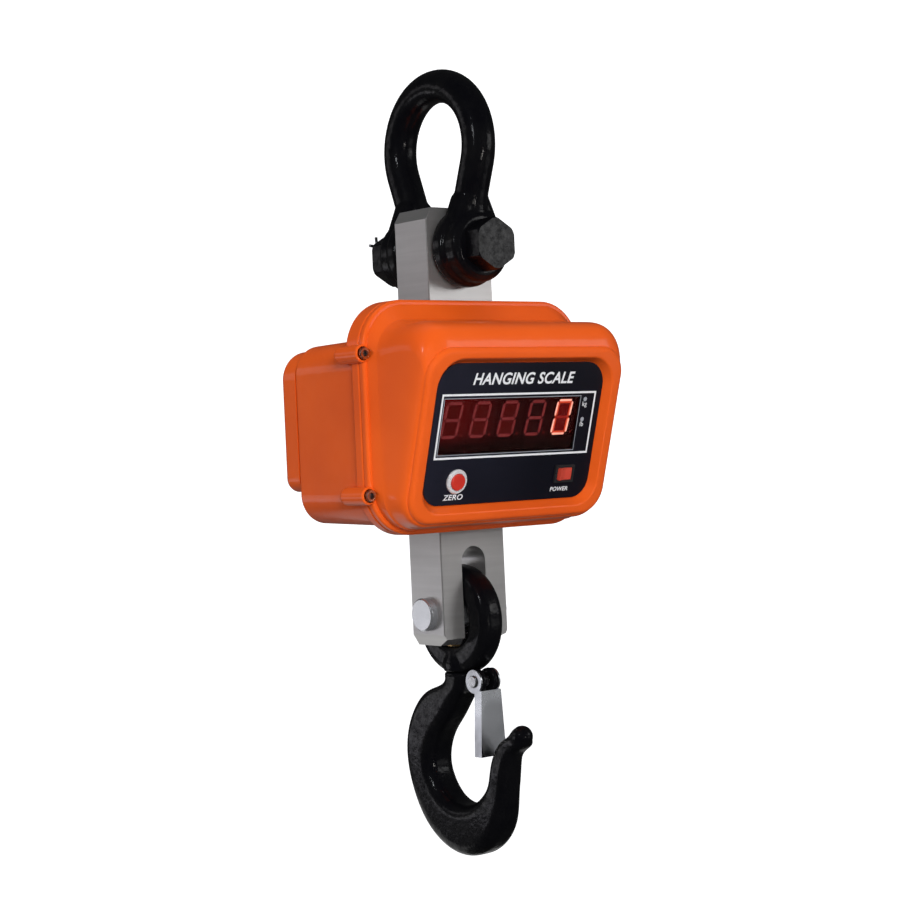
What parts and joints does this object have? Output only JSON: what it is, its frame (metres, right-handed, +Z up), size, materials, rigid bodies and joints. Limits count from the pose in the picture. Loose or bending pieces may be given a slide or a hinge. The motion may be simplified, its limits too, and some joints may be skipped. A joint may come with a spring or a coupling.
{
  "type": "crane scale",
  "caption": "Hanging crane scale: shackle over a steel load bar, tilted digital display in a cast housing, and a swivel hook with a spring latch below.",
  "frame": {"origin": "hang point: the inside of the shackle's crown, on the load axis", "axes": "+Z up along the load axis, X across the front, the display faces -Y"},
  "size_m": [0.254, 0.209, 0.6715],
  "materials": {
    "shell_orange": "gloss enamel on a die casting",
    "forging_black": "gloss black paint on a forging",
    "bar_steel": "ground and plated",
    "pin_steel": "turned, bright",
    "zinc": "zinc plated",
    "latch_zinc": "zinc plated sheet",
    "spring_steel": "oiled wire",
    "panel_black": "satin printed overlay",
    "filter_red": "smoked red window",
    "digit_red": "red display blocks",
    "board_green": "circuit board",
    "spacer_nylon": "nylon",
    "bezel_chrome": "polished ring",
    "button_red": "red moulding",
    "switch_black": "black moulding",
    "rocker_red": "red moulding",
    "bracket_steel": "painted flat bar",
    "rubber_black": "moulded rubber",
    "gauge_amber": "bonded foil gauge",
    "cover_aluminium": "bonded cover disc",
    "gland_black": "nylon gland",
    "battery_grey": "sealed battery case",
    "tray_zinc": "folded zinc plated sheet",
    "socket_nickel": "nickel plated",
    "washer_bronze": "bronze thrust washer"
  },
  "bodies": {
    "shackle": {"shackle_bow": "forging_black", "shackle_bolt": "forging_black", "shackle_nut": "forging_black", "cotter_pin": "zinc"},
    "scale_body": {"load_bar": "bar_steel", "gauge_covers": "cover_aluminium", "strain_gauges": "gauge_amber", "sensor_gland": "gland_black", "lower_pin": "pin_steel", "pin_circlip": "spring_steel", "upper_bracket": "bracket_steel", "lower_bracket": "bracket_steel", "bar_screws": "zinc", "bracket_screws": "zinc", "seal_upper": "rubber_black", "seal_lower": "rubber_black", "front_shell": "shell_orange", "rear_shell": "shell_orange", "shell_gasket": "rubber_black", "shell_screws": "zinc", "battery_door": "shell_orange", "door_gasket": "rubber_black", "door_screws": "zinc", "charge_socket": "socket_nickel", "battery": "battery_grey", "battery_tray": "tray_zinc", "panel_plate": "panel_black", "display_filter": "filter_red", "display_digits": "digit_red", "display_board": "board_green", "main_board": "board_green", "board_spacers": "spacer_nylon", "zero_bezel": "bezel_chrome", "switch_frame": "switch_black"},
    "eye_link": {"eye_link": "forging_black", "thrust_washer": "washer_bronze"},
    "hook": {"hook": "forging_black", "hook_nut": "zinc", "nut_pin": "spring_steel", "latch_pin": "zinc", "latch_spring": "spring_steel"},
    "latch": {"latch_plate": "latch_zinc"},
    "zero_button": {"zero_cap": "button_red"},
    "rocker": {"rocker_cap": "rocker_red"},
    "dust_cap": {"socket_cap": "rubber_black"}
  },
  "joints": [
    {"name": "scale_swing", "type": "hinge", "parent": "shackle", "child": "scale_body", "pos_m": [0, 0, -0.127], "axis": [0, 1, 0], "range_deg": [-90, 90]},
    {"name": "link_swing", "type": "hinge", "parent": "scale_body", "child": "eye_link", "pos_m": [0, 0, -0.435], "axis": [1, 0, 0], "range_deg": [-60, 60]},
    {"name": "hook_swivel", "type": "hinge", "parent": "eye_link", "child": "hook", "pos_m": [0, 0, -0.486], "axis": [0, 0, 1], "continuous": true},
    {"name": "latch_hinge", "type": "hinge", "parent": "hook", "child": "latch", "pos_m": [0, -0.0272, -0.493], "axis": [1, 0, 0], "range_deg": [0, 45], "stiffness_Nm_per_rad": 0.15, "springref_deg": -17.19, "deforming": ["latch_spring"]},
    {"name": "zero_press", "type": "slide", "parent": "scale_body", "child": "zero_button", "axis": [0, 0.9573, 0.289], "range_m": [0, 0.0015], "stiffness_N_per_m": 800, "springref_m": -0.001},
    {"name": "rocker_turn", "type": "hinge", "parent": "scale_body", "child": "rocker", "pos_m": [0.0602, -0.07088, -0.32021], "axis": [0, -0.289, 0.9573], "range_deg": [-16, 0]},
    {"name": "dust_cap_pull", "type": "slide", "parent": "scale_body", "child": "dust_cap", "axis": [0, 1, 0], "range_m": [0, 0.02]}
  ]
}
